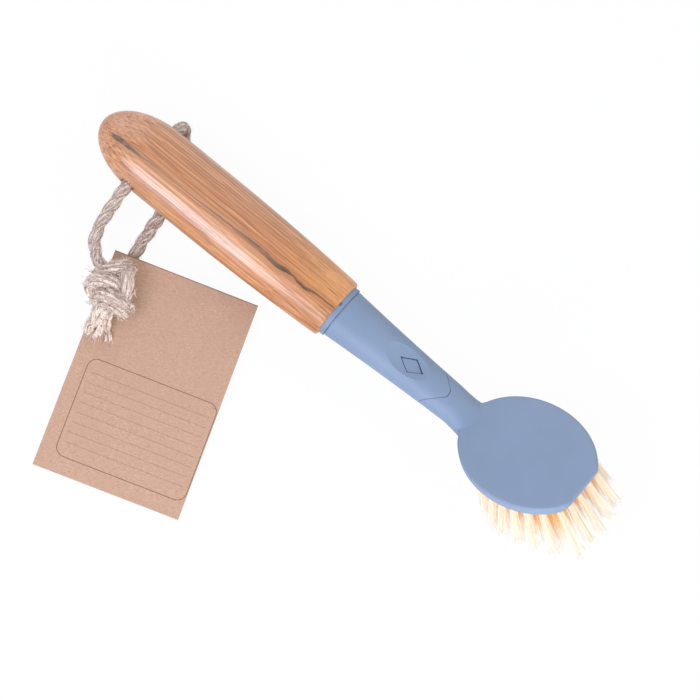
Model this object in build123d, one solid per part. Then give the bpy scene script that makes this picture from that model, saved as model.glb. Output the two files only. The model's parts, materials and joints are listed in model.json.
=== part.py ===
from build123d import *
import math
import os

os.makedirs("parts", exist_ok=True)

# A dish brush with an oval bamboo grip, a moulded neck, a head that unplugs from it, and a hemp cord
# with a card on it. Millimetres. The brush is modelled along its own axis: X runs from the butt to the
# head, Z points out of the grip's top, and the bristles point down. It is then set down on the floor,
# where it leans on its heel bristles and on the cord under the grip, with the origin below its middle.

# Bamboo grip
grip_length = 119.0
grip_width = 30.9
grip_thickness = 19.5
grip_end_width = 26.6
nose_length = 26.0
belly_place = 52.0
grip_end_round = 1.2
cord_hole_place = 24.3
cord_hole_drop = 1.0
cord_hole_diameter = 6.2
cord_hole_mouth_round = 1.2

# Moulded neck
neck_length = 57.0
neck_start_width = 22.2
neck_middle_width = 18.5
neck_end_width = 15.9
neck_start_thickness = 13.8
collar_width = 23.4
collar_length = 2.1
collar_groove_width = 0.5
collar_groove_depth = 0.5
collar_notch_width = 1.6
collar_notch_length = 0.8
collar_notch_depth = 0.7
spigot_diameter = 11.0
spigot_length = 28.0
spigot_groove_width = 2.0
spigot_groove_depth = 0.4
spigot_groove_spacing = 8.0
glue_gap = 0.05
spigot_end_gap = 1.0

# V-shaped parting between neck and head
parting_tip_place = 55.0
parting_half_angle = 42.0
parting_tip_radius = 3.5
parting_gap = 0.15

# Thumb dimple and diamond window
dimple_place = 35.6
dimple_diameter = 20.0
dimple_depth = 1.5
window_place = 36.9
window_length = 11.6
window_width = 7.0
window_gap = 0.35
button_recess = 0.3

# Shank of the head, in its socket in the neck
shank_width = 10.0
shank_thickness = 5.3
shank_length = 29.5
shank_round = 1.4
socket_clearance = 0.15
shank_end_gap = 0.3
slot_width = 7.2
slot_bridge = 2.6

# Sprung catch in the shank
catch_thickness = 1.2
catch_side_gap = 0.3
catch_end_gap = 0.5
catch_drop = 1.6
catch_root_place = 4.5
catch_bead_radius = 0.7
catch_bead_clearance = 0.05

# Plate of the head
plate_length = 58.5
plate_width = 46.5
plate_thickness = 4.0
plate_tilt = 20.0
plate_heel_reach = 8.5
plate_heel_rise = 0.74
plate_edge_round = 0.9
scraper_setback = 2.2
scraper_bevel_height = 1.8
scraper_bevel_length = 2.0
scraper_corner_radius = 3.5
web_start_width = 12.0
web_end_width = 16.8
web_overhang = 2.8
web_length = 8.0
web_fillet = 7.0

# Throat, where the neck sinks into the plate
throat_length = 19.5
throat_first_share = 0.31
throat_first_drop = 0.8
throat_first_width = 15.6
throat_first_thickness = 10.0
throat_first_angle = -6.0
throat_second_share = 0.62
throat_second_drop = 1.3
throat_second_width = 17.2
throat_second_thickness = 7.2
throat_second_angle = 4.0
throat_end_width = 21.0
throat_end_thickness = 3.2
throat_fillet = 1.9

# Bed of the tufts, in a recess under the plate
bed_thickness = 2.0
bed_wall = 2.2
bed_gap = 0.15
bed_tip_wall = 3.4

# Tufts: rows across the plate, and strands in each tuft
row_count = 10
tuft_edge_inset = 3.6
first_row_inset = 7.0
last_row_inset = 5.4
tuft_spacing = 5.4
ring_strands = 6
tuft_radius = 0.75
tuft_spread = 2.4
strand_radius = 0.32
strand_root = 0.4
bristle_length = 24.3
fan_side = 16.0
fan_front = 31.0
fan_heel = 0.0
heel_cut = 0.5
anchor_width = 2.4
anchor_thickness = 0.3
anchor_height = 1.2

# Hemp cord: the points of its two free stretches after they leave the cross hole, its knot and its
# frayed tails, all counted from the point of the floor below the middle of the cross hole
cord_diameter = 5.0
cord_rest_gap = 0.3
cord_seat = 3.0
cord_straight = 4.7
crossing_place = 9.7
arc_share = 0.45
left_route = (
    (1.6, -27.5, 14.1),
    (2.8, -35.8, 13.9),
    (5.8, -42.2, 13.6),
    (11.3, -46.4, 13.6),
    (17.2, -48.4, 14.2),
)
right_route = (
    (0.6, 20.5, 10.2),
    (2.2, 20.6, 5.8),
    (4.2, 17.2, 2.6),
    (8.0, 10.2, 2.5),
    (12.6, 1.6, 2.5),
    (16.0, -8.2, 2.5),
    (17.4, -18.0, 2.5),
    (18.6, -27.4, 2.5),
    (20.8, -35.5, 2.5),
    (21.6, -38.7, 5.2),
    (21.3, -39.6, 9.6),
    (20.0, -42.8, 12.2),
    (18.4, -47.1, 12.6),
)
knot_centre = (23.3, -53.0, 14.2)
knot_length = 23.0
knot_width = 17.0
knot_height = 14.0
knot_turn = -52.0
tail_end_radius = 3.1
tail_routes = (
    ((26.0, -58.8, 12.4), (32.1, -69.8, 8.9)),
    ((19.7, -59.6, 12.2), (23.5, -71.0, 8.9)),
)

# Card on the cord
card_width = 60.0
card_length = 91.7
card_thickness = 0.6
card_hole_diameter = 8.0
card_hole_from_side = 6.6
card_hole_from_top = 5.5
card_place = (21.15, -38.9)
card_turn = 20.1
card_clearance = 0.6

overrun = 30.0

# Worked out from the sizes above
neck_start = grip_length
neck_end = neck_start + neck_length
neck_flatness = neck_start_thickness / neck_start_width
grip_flatness = grip_thickness / grip_width
neck_body_start = neck_start + collar_length + collar_groove_width
parting_tip = neck_start + parting_tip_place
dimple_x = neck_start + dimple_place
window_x = neck_start + window_place
shank_tip = parting_tip - shank_length + parting_gap
catch_root = neck_end - catch_root_place
slot_start = shank_tip + slot_bridge
plate_underside = -plate_thickness
tilt_cosine, tilt_sine = math.cos(math.radians(plate_tilt)), math.sin(math.radians(plate_tilt))
plate_centre_place = neck_end + plate_heel_reach + plate_length / 2 * tilt_cosine
plate_centre_height = plate_length / 2 * tilt_sine + plate_heel_rise
plate_plane = Plane(
    origin=(plate_centre_place, 0, plate_centre_height),
    x_dir=(tilt_cosine, 0, tilt_sine),
    z_dir=(-tilt_sine, 0, tilt_cosine),
)
scraper_place = plate_length / 2 - scraper_setback
web_reach = plate_length / 2 + web_overhang
first_row_place = first_row_inset - plate_length / 2
last_row_place = scraper_place - last_row_inset
tuft_reach_long = plate_length / 2 - tuft_edge_inset
tuft_reach_wide = plate_width / 2 - tuft_edge_inset


def turned_oval(profile, flatness):
    """A body turned about X from a half profile in XY, then flattened along Z to an oval."""
    return scale(revolve(profile, Axis.X), by=(1, 1, flatness))


def circle_through(first, middle, last):
    """Centre and radius of the circle through three points of a profile."""
    (ax, ay), (bx, by), (cx, cy) = first, middle, last
    turn = 2 * (ax * (by - cy) + bx * (cy - ay) + cx * (ay - by))
    a2, b2, c2 = ax**2 + ay**2, bx**2 + by**2, cx**2 + cy**2
    x = (a2 * (by - cy) + b2 * (cy - ay) + c2 * (ay - by)) / turn
    y = (a2 * (cx - bx) + b2 * (ax - cx) + c2 * (bx - ax)) / turn
    return x, y, math.hypot(ax - x, ay - y)


neck_profile_points = (
    (neck_body_start, neck_start_width / 2),
    ((neck_body_start + neck_end) / 2, neck_middle_width / 2),
    (neck_end, neck_end_width / 2),
)


def neck_half_width(x):
    """Half the neck's width at a place along it, from its profile's arc."""
    cx, cy, radius = circle_through(*neck_profile_points)
    return cy - math.copysign(math.sqrt(radius**2 - (x - cx) ** 2), cy)


def grip_half_width(x):
    """Half the grip's width at a place in its nose or its straight belly."""
    if x >= nose_length:
        return grip_width / 2
    return grip_width / 2 * math.sqrt(1 - ((nose_length - x) / nose_length) ** 2)


def bamboo_grip():
    """Turned nose, straight belly and long taper, with the cross hole and the spigot's bore."""
    nose = EllipticalCenterArc((nose_length, 0), nose_length, grip_width / 2, start_angle=90, arc_size=90)
    belly = Line((nose_length, grip_width / 2), (belly_place, grip_width / 2))
    taper = TangentArc((belly_place, grip_width / 2), (grip_length, grip_end_width / 2), tangent=(1, 0))
    end = Line((grip_length, grip_end_width / 2), (grip_length, 0))
    axis_line = Line((grip_length, 0), (0, 0))
    profile = make_face([nose, belly, taper, end, axis_line])
    end_corner = profile.vertices().sort_by(Axis.X)[-2:].sort_by(Axis.Y)[-1]
    profile = fillet(end_corner, grip_end_round)
    body = turned_oval(profile, grip_flatness)
    hole = Cylinder(cord_hole_diameter / 2, grip_width + overrun, rotation=(90, 0, 0))
    body -= Pos(cord_hole_place, 0, -cord_hole_drop) * hole
    mouth_flare = Cone(
        cord_hole_diameter / 2,
        cord_hole_diameter / 2 + 2 * cord_hole_mouth_round,
        2 * cord_hole_mouth_round,
        align=(Align.CENTER, Align.CENTER, Align.MIN),
    )
    for side in (1, -1):
        flare_start = side * (grip_half_width(cord_hole_place) - cord_hole_mouth_round)
        body -= Pos(cord_hole_place, flare_start, -cord_hole_drop) * Rot(-side * 90, 0, 0) * mouth_flare
    bore_depth = spigot_length + spigot_end_gap
    bore = Cylinder(spigot_diameter / 2 + glue_gap, bore_depth, rotation=(0, 90, 0))
    return body - Pos(grip_length - bore_depth / 2, 0, 0) * bore


def neck_blank():
    """The neck's oval outside, from the collar to the throat, before it is parted into neck and head."""
    collar = collar_width / 2
    start, middle, end = neck_profile_points
    groove = start[1] - collar_groove_depth
    collar_end = neck_start + collar_length
    outline = Polyline(
        (neck_end, 0),
        (neck_start, 0),
        (neck_start, collar),
        (collar_end, collar),
        (collar_end, groove),
        (start[0], groove),
        start,
    )
    profile = make_face([outline, ThreePointArc(start, middle, end), Line(end, (neck_end, 0))])
    return turned_oval(profile, neck_flatness)


def parting_prism(tip):
    """Everything on the grip's side of the V-shaped parting, whose rounded tip is at the place given."""
    half_angle = math.radians(parting_half_angle)
    apex = tip + parting_tip_radius * (1 / math.sin(half_angle) - 1)
    side = neck_start_width
    shoulder = apex - side / math.tan(half_angle)
    outline = Polygon(
        (neck_start - overrun, -side),
        (shoulder, -side),
        (apex, 0),
        (shoulder, side),
        (neck_start - overrun, side),
        align=None,
    )
    outline = fillet(outline.vertices().sort_by(Axis.X)[-1], parting_tip_radius)
    return extrude(outline, neck_start_thickness, both=True)


def shank_bar(start, end, margin):
    """A bar of the shank's section grown by a margin, between two places along the neck."""
    section_plane = Plane(origin=(start, 0, 0), x_dir=(0, 1, 0), z_dir=(1, 0, 0))
    section = RectangleRounded(shank_width + 2 * margin, shank_thickness + 2 * margin, shank_round + margin)
    return extrude(section_plane * section, end - start)


def diamond(length, width, bottom, top):
    """An upright rhombus prism over the window's middle, its long diagonal along the neck."""
    outline = Polygon((length / 2, 0), (0, width / 2), (-length / 2, 0), (0, -width / 2), align=None)
    return extrude(Pos(window_x, 0, bottom) * outline, top - bottom)


dimple_floor = neck_half_width(dimple_x) * neck_flatness - dimple_depth
socket_roof = shank_thickness / 2 + socket_clearance
catch_middle = shank_thickness / 2 - catch_drop + catch_thickness / 2


def neck_sleeve():
    """Collar, neck and glued spigot in one moulding, with the socket, the dimple and the window."""
    body = neck_blank() & parting_prism(parting_tip)
    dimple_radius = ((dimple_diameter / 2) ** 2 + dimple_depth**2) / (2 * dimple_depth)
    body -= Pos(dimple_x, 0, dimple_floor + dimple_radius) * Sphere(dimple_radius)
    body -= shank_bar(shank_tip - shank_end_gap, neck_end + overrun, socket_clearance)
    body -= diamond(window_length, window_width, 0, neck_start_thickness)
    notch = Box(2 * collar_notch_length, collar_notch_width, 2 * collar_notch_depth)
    body -= Pos(neck_start, 0, collar_width / 2 * neck_flatness) * notch
    spigot = Cylinder(spigot_diameter / 2, spigot_length, rotation=(0, 90, 0))
    body += Pos(neck_start - spigot_length / 2, 0, 0) * spigot
    ring = Cylinder(spigot_diameter / 2 + overrun, spigot_groove_width, rotation=(0, 90, 0))
    ring -= Cylinder(spigot_diameter / 2 - spigot_groove_depth, spigot_groove_width, rotation=(0, 90, 0))
    groove_count = int((spigot_length - spigot_groove_width) / spigot_groove_spacing)
    for number in range(groove_count):
        body -= Pos(neck_start - (number + 1) * spigot_groove_spacing, 0, 0) * ring
    return body


def plate_outline(grow=0.0):
    """The plate's oval with its straight scraper edge, in the plate's own plane."""
    oval = Ellipse(plate_length / 2 + grow, plate_width / 2 + grow)
    keep = Pos(scraper_place + grow - plate_length, 0) * Rectangle(2 * plate_length, 2 * plate_width)
    return oval & keep


def brush_head():
    """Plate, throat, neck end and shank in one moulding, with the slot for the catch."""
    outline = plate_outline()
    outline = fillet(outline.vertices(), scraper_corner_radius)
    web = Polygon(
        (-web_reach, -web_start_width / 2),
        (web_length - web_reach, -web_end_width / 2),
        (0, -web_end_width / 2),
        (0, web_end_width / 2),
        (web_length - web_reach, web_end_width / 2),
        (-web_reach, web_start_width / 2),
        align=None,
    )
    plate = extrude(outline + web, -plate_thickness)
    inner_corners = [
        edge
        for edge in plate.edges().filter_by(Axis.Z)
        if abs(edge.center().Y) < web_end_width and web_overhang / 2 - web_reach < edge.center().X < 0
    ]
    plate = fillet(inner_corners, web_fillet)
    top_edges = plate.edges().group_by(Axis.Z)[-1]
    rim_start = -web_reach + web_fillet
    plate = fillet([edge for edge in top_edges if edge.center().X > rim_start], plate_edge_round)
    bevel = Polygon(
        (scraper_place + overrun, plate_underside - overrun),
        (scraper_place - scraper_bevel_length - overrun, plate_underside - overrun),
        (scraper_place - scraper_bevel_length, plate_underside),
        (scraper_place, plate_underside + scraper_bevel_height),
        (scraper_place + overrun, plate_underside + scraper_bevel_height),
        align=None,
    )
    plate -= extrude(Plane.XZ * bevel, plate_width, both=True)
    plate = plate_plane * plate
    gap_along_neck = parting_gap / math.sin(math.radians(parting_half_angle))
    blank = neck_blank() - parting_prism(parting_tip + gap_along_neck)
    throat_end = neck_end + throat_length
    plate_middle = plate_thickness / 2 / tilt_cosine
    throat_end_fall = (plate_centre_place - throat_end) * tilt_sine / tilt_cosine
    throat_end_height = plate_centre_height - throat_end_fall - plate_middle
    stations = (
        (0.0, 0.0, neck_end_width, neck_end_width * neck_flatness, 0.0),
        (
            throat_first_share,
            -throat_first_drop,
            throat_first_width,
            throat_first_thickness,
            throat_first_angle,
        ),
        (
            throat_second_share,
            -throat_second_drop,
            throat_second_width,
            throat_second_thickness,
            throat_second_angle,
        ),
        (1.0, throat_end_height, throat_end_width, throat_end_thickness, plate_tilt),
    )
    sections = []
    for share, height, width, thickness, angle in stations:
        heading = math.radians(angle)
        station = Plane(
            origin=(neck_end + share * throat_length, 0, height),
            x_dir=(0, 1, 0),
            z_dir=(math.cos(heading), 0, math.sin(heading)),
        )
        sections.append(station * Ellipse(width / 2, thickness / 2))
    throat = loft(sections)
    shank = shank_bar(shank_tip, neck_end, 0.0)
    slot = Box(
        catch_root - slot_start,
        slot_width,
        neck_start_thickness,
        align=(Align.MIN, Align.CENTER, Align.CENTER),
    )
    seat = Cylinder(catch_bead_radius + catch_bead_clearance, slot_width, rotation=(90, 0, 0))
    body = blank + shank
    body -= Pos(slot_start, 0, 0) * slot
    body -= Pos(catch_root, 0, catch_middle) * seat
    body = body + throat + plate
    top_face = body.faces().filter_by(Axis(plate_plane.origin, plate_plane.z_dir)).sort_by(SortBy.AREA)[-1]
    middle_edges = [edge for edge in top_face.edges() if abs(edge.center().Y) < throat_fillet]
    crease = min(middle_edges, key=lambda edge: edge.center().X)
    body = fillet(crease, throat_fillet)
    recess = extrude(bed_outline(0.0), -plate_thickness - bed_thickness)
    return body - plate_plane * Pos(0, 0, plate_underside + bed_thickness) * recess


def release_catch():
    """Sprung tongue with the diamond button on it, hinged at a bead in the shank."""
    tongue_tip = slot_start + catch_end_gap
    width = slot_width - 2 * catch_side_gap
    tongue = Box(
        catch_root - tongue_tip,
        width,
        catch_thickness,
        align=(Align.MIN, Align.CENTER, Align.CENTER),
    )
    body = Pos(tongue_tip, 0, catch_middle) * tongue
    body += Pos(catch_root, 0, catch_middle) * Cylinder(catch_bead_radius, width, rotation=(90, 0, 0))
    half_angle = math.atan2(window_width, window_length)
    button_length = window_length - 2 * window_gap / math.sin(half_angle)
    button_width = window_width - 2 * window_gap / math.cos(half_angle)
    return body + diamond(button_length, button_width, catch_middle, dimple_floor - button_recess)


def bed_outline(gap):
    """The recess for the tufts' bed, inside the plate's rim, less a gap all round."""
    oval = Ellipse(plate_length / 2 - bed_wall - gap, plate_width / 2 - bed_wall - gap)
    keep_end = scraper_place - bed_tip_wall - gap
    return oval & (Pos(keep_end - plate_length, 0) * Rectangle(2 * plate_length, plate_width))


def row_places():
    """Each row's place along the plate, from the heel to the scraper edge."""
    pitch = (last_row_place - first_row_place) / (row_count - 1)
    return [first_row_place + number * pitch for number in range(row_count)]


def tuft_places(row_place):
    """The tufts' places across one row, evenly spread between the oval's edges."""
    reach = tuft_reach_wide * math.sqrt(1 - (row_place / tuft_reach_long) ** 2)
    count = max(round(2 * reach / tuft_spacing) + 1, 2)
    return [-reach + number * 2 * reach / (count - 1) for number in range(count)]


def fan_slopes(x, y):
    """How far a strand leans along and across the plate for each millimetre that it stands out."""
    along, across = x / tuft_reach_long, y / tuft_reach_wide
    front, heel = math.tan(math.radians(fan_front)), math.tan(math.radians(fan_heel))
    slope_along = (front + heel) / 2 * along + (front - heel) / 2 * along**2
    return slope_along, math.tan(math.radians(fan_side)) * across


def strand_offsets():
    """A tuft's strands about its middle: one at the centre and a ring round it, alike left and right."""
    ring = [math.tau * number / ring_strands for number in range(ring_strands)]
    return [(0.0, 0.0)] + [(tuft_radius * math.cos(turn), tuft_radius * math.sin(turn)) for turn in ring]


def strand_prism(x, y, offset):
    """One strand, a three-sided prism from inside the bed to its tip, in the plate's own frame."""
    along, across = fan_slopes(x, y)
    root = Vector(x + offset[0], y + offset[1], plate_underside + strand_root)
    lean = Vector(
        along * bristle_length + (tuft_spread - 1) * offset[0],
        across * bristle_length + (tuft_spread - 1) * offset[1],
        -bristle_length - strand_root,
    )
    corners = [
        (strand_radius * math.cos(math.tau * number / 3), strand_radius * math.sin(math.tau * number / 3))
        for number in range(3)
    ]
    triangle = Face(Wire.make_polygon([root + Vector(*corner, 0) for corner in corners], close=True))
    return Solid.extrude(triangle, lean)


def anchor_plates(places, row_place):
    """The flat wire anchors of one row, each standing in the bed with its top against the recess."""
    top_aligned = (Align.CENTER, Align.CENTER, Align.MAX)
    anchor = Box(anchor_thickness, anchor_width, anchor_height, align=top_aligned)
    return [Pos(row_place, place, plate_underside + bed_thickness) * anchor for place in places]


def heel_level():
    """The lowest point of the heel row's tips, in the brush's frame."""
    x = first_row_place
    along, _ = fan_slopes(x, 0.0)
    tip_x = x + along * bristle_length - tuft_spread * tuft_radius
    tip = plate_plane.from_local_coords(Vector(tip_x, 0, plate_underside - bristle_length))
    return tip.X, tip.Z


# The brush leans on its heel and on the cord that passes under the grip: this gives its pitch
heel_x, heel_z = heel_level()
prop_x = cord_hole_place + crossing_place
prop_z = -grip_thickness / 2 - cord_rest_gap - cord_diameter
pitch = math.degrees(math.atan2(prop_z - heel_z - heel_cut, heel_x - prop_x))
lift = -(prop_x * math.sin(math.radians(pitch)) + prop_z * math.cos(math.radians(pitch)))
leaning = Pos(0, 0, lift) * Rot(0, -pitch, 0)

nodes = {
    "bamboo_handle": bamboo_grip(),
    "neck_sleeve": neck_sleeve(),
    "brush_head": brush_head(),
    "release_catch": release_catch(),
}
nodes = {name: leaning * shape for name, shape in nodes.items()}

# Tufts: each row is one fuse of its strands with its slice of the bed
below_floor = Pos(plate_centre_place, 0, 0) * Box(
    2 * plate_length + overrun, 2 * plate_width, overrun, align=(Align.CENTER, Align.CENTER, Align.MAX)
)
bed = Pos(0, 0, plate_underside) * extrude(bed_outline(bed_gap), bed_thickness)
rows = row_places()
anchors = []
strand_total = 0
for number, row_place in enumerate(rows):
    low = rows[0] - plate_length if number == 0 else (rows[number - 1] + row_place) / 2
    high = rows[-1] + plate_length if number == row_count - 1 else (row_place + rows[number + 1]) / 2
    band = Pos((low + high) / 2, 0, plate_underside) * Box(high - low, plate_width, plate_thickness)
    places = tuft_places(row_place)
    row_anchors = anchor_plates(places, row_place)
    bed_slice = bed & band
    for anchor in row_anchors:
        bed_slice -= anchor
    strands = [strand_prism(row_place, place, offset) for place in places for offset in strand_offsets()]
    strand_total += len(strands)
    row = leaning * plate_plane.location * bed_slice.solid().fuse(*strands)
    if row.bounding_box().min.Z < 0:
        row -= below_floor
    nodes[f"bristle_row_{number + 1:02d}"] = row
    anchors += [leaning * plate_plane.location * anchor for anchor in row_anchors]
nodes["tuft_anchors"] = Compound(children=anchors)

# Cord: the stretch in the cross hole ends inside both mouths, where the free stretches start
hole_middle = leaning * Location((cord_hole_place, 0, -cord_hole_drop))
hole_x, hole_height = hole_middle.position.X, hole_middle.position.Z
seat_place = grip_half_width(cord_hole_place) - cord_seat


def whole_route(side, free_points):
    """A free stretch's route from its seat in the cross hole: straight out, then its own points."""
    straight_end = seat_place + cord_straight
    return ((0.0, side * seat_place, hole_height), (0.0, side * straight_end, hole_height), *free_points)


def arc_radii(route):
    """The tangent arc at each corner, as large as its share of the shorter run allows."""
    points = [Vector(*point) for point in route]
    radii = []
    for before, corner, after in zip(points, points[1:], points[2:]):
        come, go = corner - before, after - corner
        half_turn = math.radians(come.get_angle(go)) / 2
        radii.append(arc_share * min(come.length, go.length) / math.tan(half_turn))
    return radii


def cord_tube(name, route):
    """A round tube along a route of straight runs and tangent arcs, with its length."""
    points = [(hole_x + x, y, z) for x, y, z in route]
    radii = arc_radii(points)
    line = FilletPolyline(*points, radius=radii)
    start = Plane(origin=line @ 0, z_dir=line % 0)
    tube = sweep(start * Circle(cord_diameter / 2), path=line)
    section = math.pi * cord_diameter**2 / 4
    print(f"{name}: length {line.length:.1f}, radii", [round(radius, 1) for radius in radii])
    print(f"{name}: volume {tube.volume:.1f}, section times length {section * line.length:.1f}")
    return tube


knot = Pos(hole_x + knot_centre[0], knot_centre[1], knot_centre[2]) * Rot(0, 0, knot_turn) * scale(
    Sphere(knot_length / 2), by=(1, knot_width / knot_length, knot_height / knot_length)
)
nodes["cord_in_handle"] = Pos(hole_x, 0, hole_height) * Cylinder(
    cord_diameter / 2, 2 * seat_place, rotation=(90, 0, 0)
)
nodes["cord_left"] = cord_tube("cord_left", whole_route(-1, left_route)) - knot
nodes["cord_right"] = cord_tube("cord_right", whole_route(1, right_route)) - knot
nodes["cord_knot"] = knot
tails = []
for start, end in tail_routes:
    axis = Vector(*end) - Vector(*start)
    base = Plane(origin=(hole_x + start[0], start[1], start[2]), z_dir=axis)
    base_aligned = (Align.CENTER, Align.CENTER, Align.MIN)
    tail = Cone(cord_diameter / 2, tail_end_radius, axis.length, align=base_aligned)
    tails.append((base * tail) - knot)
nodes["cord_tails"] = Compound(children=[solid for tail in tails for solid in tail.solids()])

# Card: its hole is round the cord, its lower edge lies on the floor
card_hole_height = cord_diameter + card_clearance
card_slope = math.degrees(math.asin(card_hole_height / (card_length - card_hole_from_top)))
card_middle_x = card_width / 2 - card_hole_from_side
card_middle_y = card_hole_from_top - card_length / 2
card = Pos(card_middle_x, card_middle_y) * Rectangle(card_width, card_length)
card -= Circle(card_hole_diameter / 2)
card_hole = Location((hole_x + card_place[0], card_place[1], card_hole_height))
card_lie = card_hole * Rot(0, 0, card_turn) * Rot(card_slope, 0, 0)
nodes["swing_tag"] = card_lie * extrude(card, card_thickness)

# The origin is on the floor below the middle of the brush, without its cord and card
on_the_cord = ("cord_left", "cord_right", "cord_in_handle", "cord_knot", "cord_tails", "swing_tag")
off_the_cord = [shape for name, shape in nodes.items() if name not in on_the_cord]
brush_box = Compound(off_the_cord).bounding_box()
to_middle = Pos(-brush_box.center().X, 0, 0)
for name, shape in nodes.items():
    export_step(to_middle * shape, f"parts/{name}.step")

print(f"strands {strand_total}, pitch {pitch:.3f}, lift {lift:.3f}, shift {-brush_box.center().X:.3f}")
standing = to_middle * leaning
for label, point in (
    ("hole middle", (cord_hole_place, 0, -cord_hole_drop)),
    ("catch root", (catch_root, 0, catch_middle)),
    ("plate centre", (plate_centre_place, 0, plate_centre_height)),
    ("neck axis start", (0, 0, 0)),
):
    place = (standing * Location(point)).position
    print(label, [round(value, 3) for value in place])
print("card hole", [round(value, 3) for value in (to_middle * card_hole).position])
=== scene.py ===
import json
import math

import bpy
import numpy as np
from mathutils import Matrix, Vector


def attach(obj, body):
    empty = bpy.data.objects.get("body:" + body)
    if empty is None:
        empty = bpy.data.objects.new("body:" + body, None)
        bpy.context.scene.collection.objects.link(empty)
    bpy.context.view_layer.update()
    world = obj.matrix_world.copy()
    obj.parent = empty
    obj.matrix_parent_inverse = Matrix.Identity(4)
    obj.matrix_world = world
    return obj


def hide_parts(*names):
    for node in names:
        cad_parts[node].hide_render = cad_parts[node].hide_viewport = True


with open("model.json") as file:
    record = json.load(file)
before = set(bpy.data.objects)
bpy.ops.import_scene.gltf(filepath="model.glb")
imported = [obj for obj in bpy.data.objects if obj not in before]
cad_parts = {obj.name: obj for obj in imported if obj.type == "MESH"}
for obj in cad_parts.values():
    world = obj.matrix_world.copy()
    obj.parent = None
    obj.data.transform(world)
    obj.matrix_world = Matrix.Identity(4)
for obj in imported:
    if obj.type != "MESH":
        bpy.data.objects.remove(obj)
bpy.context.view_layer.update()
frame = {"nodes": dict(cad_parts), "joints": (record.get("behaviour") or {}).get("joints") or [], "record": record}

# Camera: it looks down from high above through a long lens, and is rolled so that the brush runs
# from the upper left to the lower right of the picture.
camera_target = Vector((0.00557, -0.00813, 0.01616))
camera_distance = 1.5
camera_azimuth = math.radians(6.96)
camera_elevation = math.radians(69.93)
camera_roll = math.radians(33.72)
sensor_width = 36.0
picture_width = 700
pixels_per_metre = 2560

camera_back = Vector((
    math.sin(camera_azimuth) * math.cos(camera_elevation),
    -math.cos(camera_azimuth) * math.cos(camera_elevation),
    math.sin(camera_elevation),
))
level_right = Vector((math.cos(camera_azimuth), math.sin(camera_azimuth), 0))
level_up = camera_back.cross(level_right)
camera_right = level_right * math.cos(camera_roll) + level_up * math.sin(camera_roll)
camera_up = level_up * math.cos(camera_roll) - level_right * math.sin(camera_roll)
camera_data = bpy.data.cameras.new("camera")
camera_data.sensor_width = sensor_width
camera_data.lens = sensor_width * pixels_per_metre * camera_distance / picture_width
camera_data.clip_end = 10
camera = bpy.data.objects.new("camera", camera_data)
camera_place = camera_target + camera_back * camera_distance
camera.matrix_world = Matrix.Translation(camera_place) @ Matrix(
    (camera_right, camera_up, camera_back)
).transposed().to_4x4()
bpy.context.scene.collection.objects.link(camera)
bpy.context.scene.camera = camera


class Signal:
    """A node's output in a material, with Python's arithmetic written as Math nodes."""

    def __init__(self, tree, socket=None):
        self.tree = tree
        self.socket = socket

    def node(self, kind, sockets=None, settings=None, output=0):
        """One of a new node's outputs; its settings are made first, then its values and links."""
        made = self.tree.nodes.new("ShaderNode" + kind)
        for name, value in (settings or {}).items():
            if name == "stops":
                stops = made.color_ramp.elements
                stops[0].position, stops[-1].position = value[0][0], value[-1][0]
                for place, colour in value[1:-1]:
                    stops.new(place)
                for stop, (place, colour) in zip(stops, value):
                    stop.color = (*colour, 1)
            else:
                setattr(made, name, value)
        for name, value in (sockets or {}).items():
            target = made.inputs[name]
            if isinstance(value, Signal):
                self.tree.links.new(value.socket, target)
            elif target.type == "RGBA":
                target.default_value = (*value, 1)
            else:
                target.default_value = value
        return Signal(self.tree, made.outputs[output] if made.outputs else None)

    def maths(self, operation, *others):
        """A Math node's answer for this signal and the others that its operation needs."""
        return self.node("Math", dict(enumerate((self, *others))), {"operation": operation})

    def __add__(self, other):
        return self.maths("ADD", other)

    def __sub__(self, other):
        return self.maths("SUBTRACT", other)

    def __rsub__(self, other):
        return self.node("Math", {0: other, 1: self}, {"operation": "SUBTRACT"})

    def __mul__(self, other):
        return self.maths("MULTIPLY", other)

    def __truediv__(self, other):
        return self.maths("DIVIDE", other)

    __radd__ = __add__
    __rmul__ = __mul__

    def between(self, low, high):
        """0 below low, 1 above high, with a smooth step from one to the other."""
        sockets = {"Value": self, "From Min": low, "From Max": high}
        return self.node("MapRange", sockets, {"interpolation_type": "SMOOTHSTEP"})

    def mixed(self, first, second):
        """A colour that goes from the first to the second as this signal goes from 0 to 1."""
        sockets = {"Factor": self, 6: first, 7: second}
        return self.node("Mix", sockets, {"data_type": "RGBA"}, output=2)

    def axes(self):
        """The three numbers of this vector."""
        split = self.node("SeparateXYZ", {"Vector": self})
        return [Signal(self.tree, number) for number in split.socket.node.outputs]


def start_material(name):
    """An empty material, with the signal that its nodes start from."""
    material = bpy.data.materials.new(name)
    material.use_nodes = True
    material.node_tree.nodes.clear()
    return material, Signal(material.node_tree)


# Studio: a white table under a white sky. A long soft lamp stands on the side of the grip that the
# cord hangs from, a low one lights the bristles, a third looks at the butt, and a large one fills
# from the other side. The table shows white and keeps the shadow.
sky_strength = 0.46
shown_white = (1.0, 1.0, 1.0)
floor_white_share = 0.95
floor_reach = 3.0
floor_colour = (0.9, 0.9, 0.9)
lamps = (
    ("key_lamp", (0.62, 0.36), 5.2, Vector((-0.13, -0.64, 0.70)), (0.81, 0.85, 1.0)),
    ("low_lamp", (0.5, 0.3), 2.15, Vector((0.42, -0.42, 0.2)), (0.97, 0.98, 1.0)),
    ("butt_lamp", (0.9, 0.9), 2.7, Vector((-0.85, 0.45, 0.55)), (1.0, 0.97, 0.97)),
    ("fill_lamp", (1.2, 1.0), 3.6, Vector((0.45, 0.75, 0.8)), (1.0, 0.99, 0.98)),
)

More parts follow.
